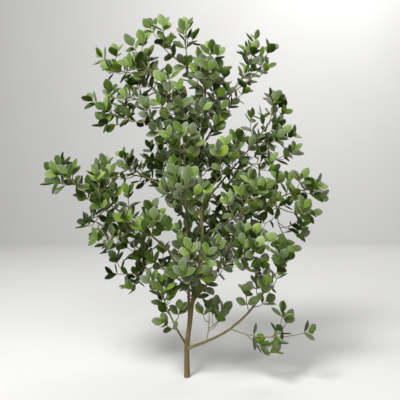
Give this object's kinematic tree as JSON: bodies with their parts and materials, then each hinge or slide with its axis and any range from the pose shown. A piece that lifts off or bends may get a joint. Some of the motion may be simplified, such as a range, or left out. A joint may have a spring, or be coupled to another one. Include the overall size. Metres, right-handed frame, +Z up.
{
  "type": "common boxwood shrub",
  "caption": "Open-crowned young boxwood: one slender stem, ascending boughs and leafy sprays, fixed in the ground by its cut stem.",
  "frame": {"origin": "centre of the flat cut under the main stem, at ground level", "axes": "+Z up the stem, +X to the right and +Y away from the viewer, as the picture shows the plant"},
  "size_m": [0.4172, 0.3059, 0.5548],
  "materials": {
    "bark": "matte",
    "leaf_dark": "satin",
    "leaf_fresh": "satin",
    "leaf_grey": "satin"
  },
  "bodies": {
    "root": {"bough_back_left": "bark", "bough_back_right": "bark", "bough_left_high": "bark", "bough_left_middle": "bark", "bough_long_left": "bark", "bough_low_left": "bark", "bough_low_right": "bark", "bough_lower_left": "bark", "bough_right_fork": "bark", "bough_right_low": "bark", "bough_right_upper": "bark", "bough_upper_left": "bark", "bough_upper_left_long": "bark", "bough_upper_right": "bark", "second_stem": "bark", "trunk": "bark", "foliage_back_left": "leaf_dark", "foliage_back_left_rise": "leaf_fresh", "foliage_back_right": "leaf_grey", "foliage_back_right_low": "leaf_dark", "foliage_front_low": "leaf_fresh", "foliage_inner_high": "leaf_grey", "foliage_inner_trunk_1": "leaf_dark", "foliage_inner_trunk_2": "leaf_fresh", "foliage_inner_trunk_3": "leaf_grey", "foliage_left_high_tip": "leaf_dark", "foliage_left_middle_rise": "leaf_fresh", "foliage_left_middle_tip": "leaf_grey", "foliage_long_left_inner_drop": "leaf_dark", "foliage_long_left_inner_rise": "leaf_fresh", "foliage_long_left_mid_drop": "leaf_grey", "foliage_long_left_mid_rise": "leaf_dark", "foliage_long_left_rise": "leaf_fresh", "foliage_long_left_tip": "leaf_grey", "foliage_low_left": "leaf_dark", "foliage_low_right_outer": "leaf_fresh", "foliage_low_right_rise": "leaf_grey", "foliage_low_right_tip": "leaf_dark", "foliage_lower_left_drop": "leaf_fresh", "foliage_lower_left_tip": "leaf_grey", "foliage_right_fork_side": "leaf_dark", "foliage_right_fork_tip": "leaf_fresh", "foliage_right_inner": "leaf_grey", "foliage_right_low_drop": "leaf_dark", "foliage_right_low_inner": "leaf_fresh", "foliage_right_low_tip": "leaf_grey", "foliage_right_upper_low": "leaf_dark", "foliage_right_upper_side": "leaf_fresh", "foliage_right_upper_tip": "leaf_grey", "foliage_second_stem_front": "leaf_dark", "foliage_second_stem_tip": "leaf_fresh", "foliage_top_centre": "leaf_grey", "foliage_top_leader": "leaf_dark", "foliage_top_left": "leaf_fresh", "foliage_top_right": "leaf_grey", "foliage_top_right_far": "leaf_dark", "foliage_upper_left_far": "leaf_fresh", "foliage_upper_left_low": "leaf_grey", "foliage_upper_left_tip": "leaf_dark", "foliage_upper_right_inner": "leaf_fresh"}
  },
  "joints": []
}
